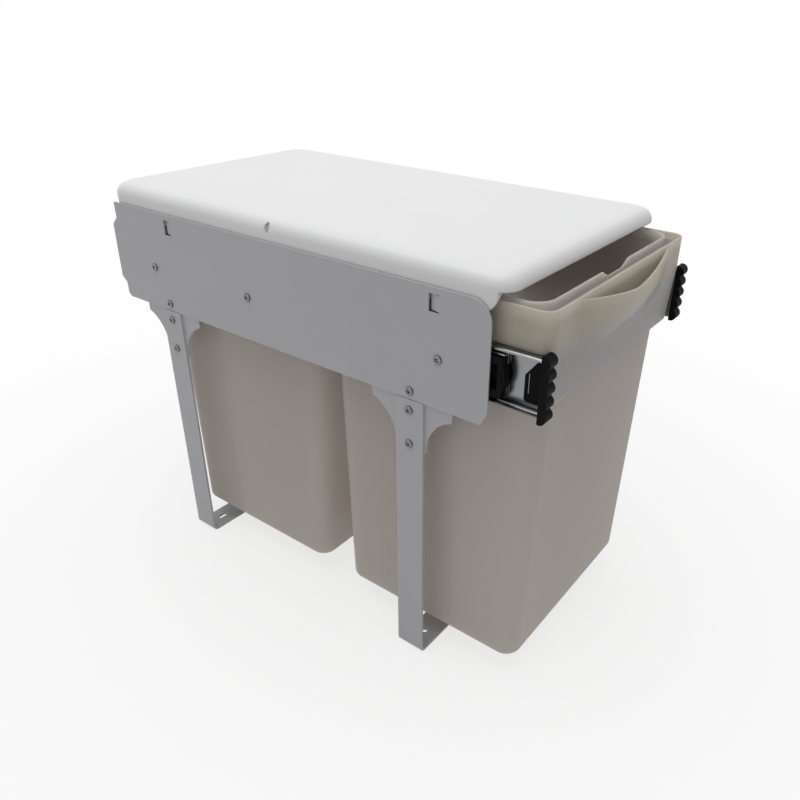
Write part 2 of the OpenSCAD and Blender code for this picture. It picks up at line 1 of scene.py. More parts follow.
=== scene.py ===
"""Pull-out bin frame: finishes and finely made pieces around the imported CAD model.

Lengths are in metres, apart from names that end in _mm and the sections on mouldings, whose
points and constants are in mm. X runs across the unit, Y front to back, Z up.
"""
import math

import bmesh
import bpy
from bpy.props import FloatProperty, FloatVectorProperty, PointerProperty
from mathutils import Matrix, Vector


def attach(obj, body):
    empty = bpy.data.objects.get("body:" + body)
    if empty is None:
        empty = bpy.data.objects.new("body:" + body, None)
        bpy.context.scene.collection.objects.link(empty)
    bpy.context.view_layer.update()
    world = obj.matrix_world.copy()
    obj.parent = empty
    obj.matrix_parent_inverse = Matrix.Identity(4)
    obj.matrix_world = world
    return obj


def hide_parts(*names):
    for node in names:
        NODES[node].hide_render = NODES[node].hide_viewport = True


bl_info = {
    "name": "Pull-Out Bin Frame",
    "version": (1, 0, 0),
    "blender": (4, 5, 0),
    "location": "3D View > Sidebar > Bin Frame",
    "description": "Dresses the pull-out bin frame with finishes and moulded pieces",
    "category": "Object",
}

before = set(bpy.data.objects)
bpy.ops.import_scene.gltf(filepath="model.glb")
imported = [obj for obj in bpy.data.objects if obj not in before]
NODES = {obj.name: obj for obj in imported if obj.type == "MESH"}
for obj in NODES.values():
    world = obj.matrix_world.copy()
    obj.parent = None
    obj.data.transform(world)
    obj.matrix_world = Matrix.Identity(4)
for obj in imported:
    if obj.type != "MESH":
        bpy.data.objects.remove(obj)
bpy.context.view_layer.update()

MM = 0.001
SIDES = {"left": -1, "right": 1}

# Camera, solved from the photographed screws, feet and corners
CAMERA_PLACE = (-0.5804, -0.3474, 0.5930)
CAMERA_YAW = 36.0007
CAMERA_PITCH = -28.5325
CAMERA_ROLL = 0.967
CAMERA_LENS = 33.39
CAMERA_SHIFT = (-0.0465, 0.0030)


def linear(code):
    """Linear colour of an sRGB hex value such as #c8c9cb."""
    parts = [int(code[i:i + 2], 16) / 255 for i in (1, 3, 5)]
    return tuple(p / 12.92 if p <= 0.04045 else ((p + 0.055) / 1.055) ** 2.4 for p in parts)


def per_metre(size_mm):
    """Texture scale whose cells are about size_mm across."""
    return 1 / (size_mm * MM)


def colour_prop(name, description, code):
    return FloatVectorProperty(name=name, description=description, default=linear(code),
                               subtype="COLOR", size=3, min=0, max=1)


class BinFrameColours(bpy.types.PropertyGroup):
    paint: colour_prop("Frame paint", "Powder coat on the panels and legs", "#bbbbbe")
    strip: colour_prop("Slides", "Zinc-plated strip of the slides", "#8e9091")
    screw: colour_prop("Screws", "Zinc plating on the screws", "#84868a")
    zinc: colour_prop("Balls", "Polished steel of the balls and their cages", "#bfc1c3")
    bumper: colour_prop("Bumper", "Plastic of the buffers and plugs", "#0b0a0b")
    collar: colour_prop("Carrier", "Moulded plastic of the carrier's collar", "#cbc4b4")
    skirt: colour_prop("Carrier's skirt", "Greyer tone of the carrier low down", "#b3b3b5")
    bins: colour_prop("Bins", "Moulded plastic of the two bins", "#cdc8c5")
    passed: colour_prop("Light through a wall", "Tint of light that passes the plastic",
                        "#f1eeea")
    lid: colour_prop("Lid", "Moulded plastic of the lid", "#ebebec")
    floor: colour_prop("Floor", "Plain floor under the unit", "#e2e2e2")


class BinFrameSizes(bpy.types.PropertyGroup):
    recess_depth: FloatProperty(
        name="Recess depth", description="Depth of the cross recess in the screw heads",
        default=1.3 * MM, min=0.2 * MM, max=2 * MM, subtype="DISTANCE", unit="LENGTH")
    recess_width: FloatProperty(
        name="Recess width", description="Width of one arm of the cross recess",
        default=1.3 * MM, min=0.5 * MM, max=2 * MM, subtype="DISTANCE", unit="LENGTH")
    key_power: FloatProperty(
        name="Softbox power", description="Power of the large lamp overhead",
        default=15, min=0, max=500, unit="POWER")
    fill_strength: FloatProperty(
        name="Fill", description="Strength of the even light from all round",
        default=0.43, min=0, max=2)


def colours():
    return bpy.context.scene.bin_frame_colours


def sizes():
    return bpy.context.scene.bin_frame_sizes


# Materials

# Heights between which the skirt's grey fades into the collar's cream. Fitted to the photograph,
# which doesn't show whether the cause is two plastics, age or a reflection.
CREAM_FROM_MM = 348
CREAM_TO_MM = 374


def add(tree, kind, values=None, links=None, **settings):
    """Adds one node with its settings, its sockets' values and its incoming links."""
    item = tree.nodes.new(kind)
    for name, value in settings.items():
        setattr(item, name, value)
    for socket, value in (values or {}).items():
        item.inputs[socket].default_value = value
    for socket, source in (links or {}).items():
        tree.links.new(source, item.inputs[socket])
    return item


def blank(name):
    """A new material with an empty tree."""
    material = bpy.data.materials.new(name)
    material.use_nodes = True
    material.node_tree.nodes.clear()
    return material, material.node_tree


def shade(colour, factor):
    """A colour made darker or lighter, as a socket value."""
    return tuple(min(1, c * factor) for c in colour) + (1,)


def close(tree, shader):
    add(tree, "ShaderNodeOutputMaterial", links={"Surface": shader.outputs[0]})


def powder_coat(colour):
    """Polyester powder coat on steel sheet: satin, with a fine orange peel and faint mottling."""
    material, tree = blank("grey_powder_coat")
    place = add(tree, "ShaderNodeTexCoord").outputs["Object"]
    peel = add(tree, "ShaderNodeTexNoise", {"Scale": per_metre(1.6), "Detail": 2},
               {"Vector": place})
    mottle = add(tree, "ShaderNodeTexNoise", {"Scale": per_metre(40), "Detail": 4},
                 {"Vector": place})
    tint = add(tree, "ShaderNodeMix", {"A": shade(colour, 0.97), "B": shade(colour, 1.03)},
               {"Factor": mottle.outputs["Fac"]}, data_type="RGBA")
    rough = add(tree, "ShaderNodeMapRange", {"To Min": 0.42, "To Max": 0.52},
                {"Value": peel.outputs["Fac"]})
    bump = add(tree, "ShaderNodeBump", {"Strength": 0.25, "Distance": 0.05 * MM},
               {"Height": peel.outputs["Fac"]})
    shader = add(tree, "ShaderNodeBsdfPrincipled", {"IOR": 1.5},
                 {"Base Color": tint.outputs["Result"], "Roughness": rough.outputs["Result"],
                  "Normal": bump.outputs["Normal"]})
    close(tree, shader)
    return material


def zinc_plate(name, colour, roughness, drawn_along=None, painted_shade_mm=0.0):
    """Bright zinc plating on steel. Rolled strip shows faint lines along its length.

    The last argument is how far, in mm, the painted shade in recesses and under edges reaches.
    This painted shade stands in for the dark reflections that the screws show in the photograph.
    """
    material, tree = blank(name)
    place = add(tree, "ShaderNodeTexCoord").outputs["Object"]
    stretch = [1.0, 1.0, 1.0]
    if drawn_along is not None:
        stretch[drawn_along] = 0.02
    lay = add(tree, "ShaderNodeMapping", {"Scale": stretch}, {"Vector": place})
    lines = add(tree, "ShaderNodeTexNoise", {"Scale": per_metre(0.9), "Detail": 5},
                {"Vector": lay.outputs["Vector"]})
    bloom = add(tree, "ShaderNodeTexNoise", {"Scale": per_metre(12), "Detail": 3},
                {"Vector": place})
    tint = add(tree, "ShaderNodeMix", {"A": shade(colour, 0.88), "B": shade(colour, 1.0)},
               {"Factor": bloom.outputs["Fac"]}, data_type="RGBA")
    if painted_shade_mm:
        # Painted shade: the colour darkens to near black where ambient occlusion finds a recess or
        # an overhang
        open_side = add(tree, "ShaderNodeAmbientOcclusion", {"Distance": painted_shade_mm * MM}, samples=6)
        painted_shade_factor = add(tree, "ShaderNodeMapRange", {"From Min": 0.35, "From Max": 0.95},
                   {"Value": open_side.outputs["AO"]})
        tint = add(tree, "ShaderNodeMix", {"A": shade(colour, 0.06)},
                   {"Factor": painted_shade_factor.outputs["Result"], "B": tint.outputs["Result"]},
                   data_type="RGBA")
    rough = add(tree, "ShaderNodeMapRange",
                {"To Min": roughness * 0.75, "To Max": roughness * 1.3},
                {"Value": lines.outputs["Fac"]})
    bump = add(tree, "ShaderNodeBump", {"Strength": 0.15, "Distance": 0.03 * MM},
               {"Height": lines.outputs["Fac"]})
    shader = add(tree, "ShaderNodeBsdfPrincipled", {"Metallic": 1.0},
                 {"Base Color": tint.outputs["Result"], "Roughness": rough.outputs["Result"],
                  "Normal": bump.outputs["Normal"]})
    close(tree, shader)
    return material


def moulded_plastic(name, colour, roughness, grain_mm, grain_depth_mm, ior=1.49, through=0.0,
                    foot_colour=None):
    """Injection-moulded polypropylene: even colour, a soft gloss and the tool's fine grain.

    through is the share of light that passes the thin wall and brightens the inside. It is a
    guess that brings the bins' insides nearer to the photograph.
    foot_colour is the greyer colour that the photograph shows low down.
    """
    material, tree = blank(name)
    place = add(tree, "ShaderNodeTexCoord").outputs["Object"]
    grain = add(tree, "ShaderNodeTexNoise", {"Scale": per_metre(grain_mm), "Detail": 3},
                {"Vector": place})
    flow = add(tree, "ShaderNodeTexNoise", {"Scale": per_metre(70), "Detail": 2},
               {"Vector": place})
    tint = add(tree, "ShaderNodeMix", {"A": shade(colour, 0.975), "B": shade(colour, 1.02)},
               {"Factor": flow.outputs["Fac"]}, data_type="RGBA").outputs["Result"]
    if foot_colour is not None:
        height = add(tree, "ShaderNodeSeparateXYZ", links={"Vector": place}).outputs["Z"]
        cream = add(tree, "ShaderNodeMapRange",
                   {"From Min": CREAM_FROM_MM * MM, "From Max": CREAM_TO_MM * MM},
                   {"Value": height}, interpolation_type="SMOOTHSTEP")
        tint = add(tree, "ShaderNodeMix", {"A": shade(foot_colour, 1)},
                   {"Factor": cream.outputs["Result"], "B": tint},
                   data_type="RGBA").outputs["Result"]
    rough = add(tree, "ShaderNodeMapRange",
                {"To Min": roughness - 0.04, "To Max": roughness + 0.05},
                {"Value": grain.outputs["Fac"]})
    bump = add(tree, "ShaderNodeBump", {"Strength": 0.3, "Distance": grain_depth_mm * MM},
               {"Height": grain.outputs["Fac"]})
    shader = add(tree, "ShaderNodeBsdfPrincipled", {"IOR": ior},
                 {"Base Color": tint, "Roughness": rough.outputs["Result"],
                  "Normal": bump.outputs["Normal"]})
    if through:
        glow = add(tree, "ShaderNodeBsdfTranslucent", {"Color": shade(colours().passed, 1)})
        shader = add(tree, "ShaderNodeMixShader", {"Fac": through},
                     {1: shader.outputs[0], 2: glow.outputs[0]})
    close(tree, shader)
    return material


# Edges sharper than this many degrees are rounded
SHARP_ANGLE = 35
BEVEL_STEPS = 3


def dress(names, material):
    """Gives CAD nodes a material."""
    for name in names:
        mesh = NODES[name].data
        mesh.materials.clear()
        mesh.materials.append(material)


def soften(names, width_mm):
    """Rounds the sharp edges of CAD nodes a little, as rolling, pressing or moulding does."""
    for name in names:
        bevel = NODES[name].modifiers.new("edge_round", "BEVEL")
        bevel.width = width_mm * MM
        bevel.segments = BEVEL_STEPS
        bevel.limit_method = "ANGLE"
        bevel.angle_limit = math.radians(SHARP_ANGLE)
        bevel.use_clamp_overlap = True


def both(stem):
    """Names of the left and right node of a pair."""
    return [f"{stem}_{side}" for side in SIDES]


def piece(name, bm, material, body):
    """Turns a bmesh into a piece that rides on a body."""
    mesh = bpy.data.meshes.new(name)
    bmesh.ops.recalc_face_normals(bm, faces=bm.faces)
    bm.to_mesh(mesh)
    bm.free()
    for face in mesh.polygons:
        face.use_smooth = True
    mesh.materials.append(material)
    made = bpy.data.objects.new(name, mesh)
    bpy.context.scene.collection.objects.link(made)
    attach(made, body)
    return made


# Screws

HEAD_R = 4.0 * MM
HEAD_H = 2.4 * MM
SHANK_R = 2.0 * MM
POINT_H = 0.6 * MM
RECESS_WALL = 0.25 * MM
# Shares of the head: its edge's height, and the recess's reach from the centre
EDGE_SHARE = 0.42
RECESS_SHARE = 0.62
# Radians from one recess to the next, so that no two screws stand alike
RECESS_TURN = 0.7
AROUND = 48
RINGS = 16


def screw(bm, root, out, turn, shank):
    """One pan-head screw: root lies under the head's centre, out points away from the panel."""
    size = sizes()
    out = Vector(out)
    side = Matrix.Rotation(turn, 3, out) @ Vector((0, 0, 1))
    up = out.cross(side)

    def at(r, a, h):
        return Vector(root) + side * (r * math.cos(a)) + up * (r * math.sin(a)) + out * h

    def crown(r, a):
        t = r / HEAD_R
        h = HEAD_H * (EDGE_SHARE + (1 - EDGE_SHARE) * math.sqrt(max(0, 1 - t ** 2.6)))
        x, y = abs(r * math.cos(a)), abs(r * math.sin(a))
        arm, reach = min(x, y), max(x, y)
        inside = min(1, max(0, (size.recess_width / 2 + RECESS_WALL - arm) / RECESS_WALL))
        inside *= min(1, max(0, (HEAD_R * RECESS_SHARE - reach) / (RECESS_WALL * 3)))
        return h - size.recess_depth * inside

    turns = [2 * math.pi * j / AROUND for j in range(AROUND)]
    loops = []
    for i in range(1, RINGS + 1):
        r = HEAD_R * (i / RINGS) ** 0.8
        loops.append([bm.verts.new(at(r, a, crown(r, a))) for a in turns])
    for r, h in ((HEAD_R, 0.0), (SHANK_R, 0.0), (SHANK_R, POINT_H - shank),
                 (SHANK_R * 0.7, -shank)):
        loops.append([bm.verts.new(at(r, a, h)) for a in turns])
    for low, high in zip(loops, loops[1:]):
        for j in range(AROUND):
            k = (j + 1) % AROUND
            bm.faces.new((low[j], low[k], high[k], high[j]))
    top = bm.verts.new(at(0, 0, crown(0, 0)))
    for j in range(AROUND):
        bm.faces.new((top, loops[0][j], loops[0][(j + 1) % AROUND]))
    bm.faces.new(loops[-1])


def solids_of(node):
    """Boxes of the loose solids in a CAD node, as lowest and highest corners."""
    mesh = NODES[node].data
    parent = list(range(len(mesh.vertices)))

    def find(i):
        while parent[i] != i:
            parent[i] = parent[parent[i]]
            i = parent[i]
        return i

    spot = {}
    for vertex in mesh.vertices:
        key = tuple(round(c * 1e6) for c in vertex.co)
        parent[vertex.index] = find(spot.setdefault(key, vertex.index))
    for edge in mesh.edges:
        parent[find(edge.vertices[0])] = find(edge.vertices[1])
    groups = {}
    for vertex in mesh.vertices:
        groups.setdefault(find(vertex.index), []).append(vertex.co)
    boxes = []
    for points in groups.values():
        low = Vector([min(p[i] for p in points) for i in range(3)])
        high = Vector([max(p[i] for p in points) for i in range(3)])
        boxes.append((low, high))
    return sorted(boxes, key=lambda b: tuple(round(c, 4) for c in b[0]))


class BINFRAME_OT_screws(bpy.types.Operator):
    """Pan-head screws with a cross recess, one group for each CAD group"""
    bl_idname = "bin_frame.screws"
    bl_label = "Screws"

    GROUPS = {"leg_screws": "frame", "gusset_screws": "frame", "runner_screws": "frame",
              "carrier_screws": "carriage"}

    def execute(self, context):
        # The screws get painted shade, reaching 2.4 mm, in their recesses and under their edges
        plate = zinc_plate("bright_zinc_screw", colours().screw, 0.16, painted_shade_mm=2.4)
        for number, (node, body) in enumerate(self.GROUPS.items()):
            boxes = solids_of(node)
            if not boxes:
                raise RuntimeError(f"{node} has no solids")
            inward = node == "carrier_screws"
            bm = bmesh.new()
            for i, (low, high) in enumerate(boxes):
                middle = (low + high) / 2
                away = 1 if middle.x > 0 else -1
                if inward:
                    away = -away
                tip = high.x if away > 0 else low.x
                length = high.x - low.x
                root = Vector((tip - away * HEAD_H, middle.y, middle.z))
                screw(bm, root, (away, 0, 0), RECESS_TURN * (i + 1) + number,
                      length - HEAD_H)
            made = piece(node + "_recessed", bm, plate, body)
            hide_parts(node)
        return {"FINISHED"}


class BINFRAME_OT_frame_metal(bpy.types.Operator):
    """Powder coat on the panels, leg hoops and gusset plates"""
    bl_idname = "bin_frame.frame_metal"
    bl_label = "Painted Frame"

    def execute(self, context):
        panels, hoops = both("side_panel"), ["front_leg_hoop", "rear_leg_hoop"]
        gussets = [f"{end}_{side}_gusset" for end in ("front", "rear") for side in SIDES]
        dress(panels + hoops + gussets, powder_coat(colours().paint))
        soften(panels, 0.65)
        soften(hoops, 0.5)
        soften(gussets, 0.4)
        return {"FINISHED"}


class BINFRAME_OT_slides(bpy.types.Operator):
    """Finishes of the ball-bearing slides and their buffers"""
    bl_idname = "bin_frame.slides"
    bl_label = "Slides"

    def execute(self, context):
        zinc = colours().zinc
        rails = both("fixed_rail") + both("middle_rail") + both("moving_rail")
        dress(rails, zinc_plate("rolled_zinc_strip", colours().strip, 0.24, drawn_along=1))
        cages = both("inner_cage") + both("outer_cage")
        dress(cages, zinc_plate("pressed_cage_strip", shade(zinc, 0.8)[:3], 0.3, drawn_along=1))
        dress(both("inner_balls") + both("outer_balls"), zinc_plate("polished_ball", zinc, 0.08))
        buffers = both("rear_buffer") + both("middle_plug") + both("end_buffer")
        # Lower than acetal's real IOR of about 1.48, to keep the buffers as dark as photographed
        black = moulded_plastic("black_acetal", colours().bumper, 0.62, 0.8, 0.02, 1.18)
        dress(buffers, black)
        soften(rails, 0.12)
        soften(buffers, 0.3)
        return {"FINISHED"}


# Mouldings: each is a skin over rings that follow a rounded plan. All in mm from here to the lid.

CORNER_STEPS = 12
# How far a corner's outer points stand out on the straights, to keep the shading of flats flat
GUARD = 0.5
# Points closer than this are merged
MERGE = 0.004


def corner(x, y, radius, start):
    """Quarter circle in plan, with a point just before and just after it on the straights."""
    turns = [math.radians(start + 90 * i / CORNER_STEPS) for i in range(CORNER_STEPS + 1)]
    points = [(x + radius * math.cos(a), y + radius * math.sin(a)) for a in turns]
    first, last = turns[0], turns[-1]
    before = (points[0][0] + GUARD * math.sin(first), points[0][1] - GUARD * math.cos(first))
    after = (points[-1][0] - GUARD * math.sin(last), points[-1][1] + GUARD * math.cos(last))
    return [before] + points + [after]


def outline(half, y0, y1, radius, front=(), sides=()):
    """Rounded rectangle, counter-clockwise from the front, with set points on its straights."""
    reach = half - radius - GUARD
    low, high = y0 + radius + GUARD, y1 - radius - GUARD
    front = [min(reach, max(-reach, x)) for x in front]
    sides = [min(high, max(low, y)) for y in sides]
    points = [(x, y0) for x in front]
    points += corner(half - radius, y0 + radius, radius, -90)
    points += [(half, y) for y in sides]
    points += corner(half - radius, y1 - radius, radius, 0)
    points += corner(-half + radius, y1 - radius, radius, 90)
    points += [(-half, y) for y in reversed(sides)]
    points += corner(-half + radius, y0 + radius, radius, 180)
    return points


def skin(bm, rings, closed):
    """Faces between rings of points. An open stack gets a cap at each end."""
    loops = [[bm.verts.new(Vector(p) * MM) for p in ring] for ring in rings]
    pairs = list(zip(loops, loops[1:]))
    if closed:
        pairs.append((loops[-1], loops[0]))
    else:
        bm.faces.new(loops[0])
        bm.faces.new(loops[-1])
    for low, high in pairs:
        for j in range(len(low)):
            k = (j + 1) % len(low)
            bm.faces.new((low[j], low[k], high[k], high[j]))
    bmesh.ops.remove_doubles(bm, verts=bm.verts, dist=MERGE * MM)


def steps(count):
    """Even shares from 0 to 1."""
    return [i / count for i in range(count + 1)]


def quarter(count):
    """Pairs (1 - cos, 1 - sin) over a quarter turn, for rounded edges."""
    turns = [math.radians(90 * i / count) for i in range(count + 1)]
    return [(1 - math.cos(a), 1 - math.sin(a)) for a in turns]


def smooth_step(t):
    """0 to 1 over t 0 to 1, level at both ends."""
    t = min(1, max(0, t))
    return t * t * (3 - 2 * t)


# Carrier

COLLAR_HALF = 132.0
COLLAR_FRONT = -123.0
COLLAR_BACK = 385.0
COLLAR_TOP = 397.0
COLLAR_FOOT = 362.8
COLLAR_R = 12.0
TOP_ROUND = 1.2
WALL = 2.2
SKIRT_HALF = 128.3
SKIRT_FOOT = 312.5
SKIRT_R = 9.0
# The skirt leans back by SKIRT_LEAN at its foot, which fades out from the front to LEAN_END
SKIRT_LEAN = 3.5
LEAN_END = 60.0
LEAN_FADE = 120.0
# There is no skirt behind this distance from the collar's back
SKIRT_STOP = 13.4
SKIRT_STOP_FADE = 0.4
SHELF = (386.0, 388.0)
SHELF_SEAT = 1.2
SHELF_OPENING = 121.9
POCKET_FOOT = 343.0
POCKET_HALF = 90.5
POCKET_OUT = 11.9
POCKET_DIP = 12.4
LIP = 2.0
LOW_ROWS = 6
POCKET_ROWS = 12
CAVITY_ROWS = 10
POCKET_COLUMNS = 64
# Set points on the front wall beside the pocket
BESIDE_POCKET = (104.0, 118.0)
# Share of the bulge's height at which it has its full reach, and how fast it gets there
BULGE_FULL = 0.9
BULGE_POWER = 1.8


def pocket_reach(x):
    """How far the pocket's lip stands ahead of the wall."""
    t = min(1, abs(x) / POCKET_HALF)
    return POCKET_OUT * math.cos(t * math.pi / 2) ** 0.85


def pocket_edge(x):
    """Height of the pocket's lip."""
    t = min(1, abs(x) / POCKET_HALF)
    return COLLAR_TOP - TOP_ROUND - 0.1 - POCKET_DIP * (1 - t ** 1.25)


def pocket_foot(x):
    """Height at which the bulge starts, higher towards the pocket's ends."""
    t = min(1, abs(x) / POCKET_HALF)
    return POCKET_FOOT + (COLLAR_FOOT - POCKET_FOOT) * t ** 3


def pocket_rise(t):
    """Share of the pocket's reach at share t of its height."""
    return 1 - (1 - min(1, max(0, t) / BULGE_FULL)) ** BULGE_POWER


def pocket_rise_at(share):
    """Height share at which the pocket has this share of its reach."""
    return BULGE_FULL * (1 - (1 - share) ** (1 / BULGE_POWER))


def wall_lean(z):
    """How far the front wall stands back at this height."""
    return SKIRT_LEAN * max(0, COLLAR_FOOT - z) / (COLLAR_FOOT - SKIRT_FOOT)


def pocket_column(x):
    """Points (ahead, z) up the pocket's skin, over its lip, down inside and up the wall.

    The first LOW_ROWS + 1 of them reach from below the bulge to the collar's foot.
    """
    reach, edge, foot = pocket_reach(x), pocket_edge(x), pocket_foot(x)
    tall = edge - foot
    lip = min(LIP, reach)

    def skin_at(z):
        return reach * pocket_rise((z - foot) / tall)

    column = []
    for t in steps(LOW_ROWS):
        z = POCKET_FOOT + (COLLAR_FOOT - POCKET_FOOT) * t
        column.append((skin_at(z), z))
    for t in steps(POCKET_ROWS)[1:]:
        z = COLLAR_FOOT + (edge - lip / 2 - COLLAR_FOOT) * t
        column.append((skin_at(z), z))
    for i in range(1, 6):
        a = math.pi * i / 6
        column.append((reach - lip / 2 * (1 - math.cos(a)),
                       edge - lip / 2 * (1 - math.sin(a))))
    low = edge - lip / 2
    if reach > LIP + 0.05:
        low = min(low, foot + tall * pocket_rise_at(lip / reach))
    for t in steps(CAVITY_ROWS):
        z = edge - lip / 2 + (low - edge + lip / 2) * t
        column.append((max(0, skin_at(z) - lip), z))
    for t in steps(6)[1:]:
        column.append((0, low + (COLLAR_TOP - TOP_ROUND - low) * t))
    return column


def carrier_rings():
    """Closed profile round the carrier: up the outside, over the top and down the inside."""
    near, far = BESIDE_POCKET
    front = [POCKET_HALF * (2 * t - 1) for t in steps(POCKET_COLUMNS)]
    front = [-far, -near] + front + [near, far]
    skirt_end = COLLAR_BACK - SKIRT_STOP
    sides = [skirt_end, skirt_end + SKIRT_STOP_FADE]
    columns = [pocket_column(x) for x in front]
    flat = pocket_column(POCKET_HALF)

    def plan(inset, skirt):
        half = (SKIRT_HALF if skirt else COLLAR_HALF) - inset
        radius = max(1.0, (SKIRT_R if skirt else COLLAR_R) - inset)
        return outline(half, COLLAR_FRONT + inset, COLLAR_BACK - inset, radius, front, sides)

    def leaned(x, y, z):
        return (x, y + wall_lean(z) * min(1, max(0, (LEAN_END - y) / LEAN_FADE)), z)

    def skirt_ring(z, inset):
        ring = []
        for x, y in plan(inset, True):
            behind = smooth_step((y - skirt_end) / SKIRT_STOP_FADE)
            ring.append(leaned(x, y, z + (COLLAR_FOOT - z) * behind))
        return ring

    def wall_ring(row, skirt, inset=0.0, z_least=0.0):
        ring = []
        for i, (x, y) in enumerate(plan(inset, skirt)):
            ahead, z = columns[i][row] if i < len(front) else flat[row]
            if i < len(front):
                ring.append((front[i], COLLAR_FRONT - ahead + wall_lean(z), z))
                continue
            z = max(z, z_least)
            if skirt and y > skirt_end + SKIRT_STOP_FADE / 2:
                z = max(z, COLLAR_FOOT)
            ring.append(leaned(x, y, z))
        return ring

    # Up the skirt, with its lower edge rounded
    rings = []
    for inset, up in ((WALL - 0.5, 0), (0.6, 0), (0.15, 0.25), (0, 0.9), (0, 2), (0, 10),
                      (0, 20)):
        rings.append(skirt_ring(SKIRT_FOOT + up, inset))
    rings += [wall_ring(row, True) for row in range(LOW_ROWS + 1)]
    # Out over the step at the collar's foot and up the collar
    rings.append(wall_ring(LOW_ROWS, False, 0.3))
    rings.append(wall_ring(LOW_ROWS, False, 0.0, COLLAR_FOOT + 0.3))
    rings += [wall_ring(row, False) for row in range(LOW_ROWS + 1, len(flat))]
    # Over the rounded top and down inside
    for out, up in ((0.12, 0.55), (0.45, 0.95), (1.1, 1.2), (1.75, 0.95), (2.08, 0.55),
                    (2.2, 0.0)):
        rings.append([(x, y, COLLAR_TOP - TOP_ROUND + up) for x, y in plan(out, False)])
    rings.append([(x, y, COLLAR_FOOT + 2.6) for x, y in plan(WALL, False)])
    rings.append([(x, y, COLLAR_FOOT + 2.2) for x, y in plan(WALL, True)])
    for z in (COLLAR_FOOT - 1, SKIRT_FOOT + 0.5):
        rings.append(skirt_ring(z, WALL))
    return rings


class BINFRAME_OT_carrier(bpy.types.Operator):
    """Moulded carrier: collar, finger pocket and the skirt between the slides"""
    bl_idname = "bin_frame.carrier"
    bl_label = "Carrier"

    def execute(self, context):
        shades = colours()
        plastic = moulded_plastic("cream_collar", shades.collar, 0.32, 0.7, 0.008, through=0.42,
                                  foot_colour=shades.skirt)
        bm = bmesh.new()
        skin(bm, carrier_rings(), closed=True)
        made = piece("carrier_collar", bm, plastic, "carriage")
        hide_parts("bin_carrier")
        bm = bmesh.new()
        self.shelf(bm)
        piece("carrier_shelf", bm, plastic, "carriage")
        return {"FINISHED"}

    @staticmethod
    def shelf(bm):
        """Frame that the bins' rims rest on: a plate with a bar between the two bins."""
        foot, top = SHELF
        half, inner = COLLAR_HALF - WALL / 2, SHELF_OPENING
        front, back = COLLAR_FRONT + SHELF_SEAT, COLLAR_BACK - SHELF_SEAT
        plates = [(-124, 124, front, -117.9), (-half, half, 119.0, 131.0),
                  (-124, 124, 368.0, back), (-half, -inner, -111, 368.1),
                  (inner, half, -111, 368.1), (-128, -inner, -118.0, -110.9),
                  (inner, 128, -118.0, -110.9)]
        boxes = [plate + (foot, top) for plate in plates]
        boxes.append((-half, half, 123.9, 126.1, COLLAR_FOOT, foot + 0.1))
        for x0, x1, y0, y1, z0, z1 in boxes:
            low, high = Vector((x0, y0, z0)) * MM, Vector((x1, y1, z1)) * MM
            place = Matrix.Translation((low + high) / 2)
            place @= Matrix.Diagonal((high - low).to_4d())
            bmesh.ops.create_cube(bm, size=1, matrix=place)


# Bins

BIN_HALF = 120.5
BIN_DEPTH = 234.0
BIN_TOP = 398.0
BIN_FOOT = 24.0
BIN_TAPER = (2.6, 11.2)
BIN_RADII = (24.0, 17.0)
BIN_WALL = 2.2
BIN_FLOOR_R = 7.5
BIN_CENTRES = {"front_bin": 0.5, "rear_bin": 249.5}
FLANGE = (388.3, 390.3)
FLANGE_WIDER = 8.5
FLANGE_LONGER = 4
FLANGE_R = 14
# The rim above the flange is wider than the body and stands further back
RIM_WIDER = 3.2
RIM_BACK = 5.2
RIM_R = 19
NOTCH_HALF = (26.0, 13.5)
NOTCH_DEPTH = 6.2
NOTCHED_ABOVE = 395


def notch_drop(x):
    """How far the notch lowers the rim at x."""
    outer, inner = NOTCH_HALF
    return NOTCH_DEPTH * min(1, max(0, (outer - abs(x)) / (outer - inner)))


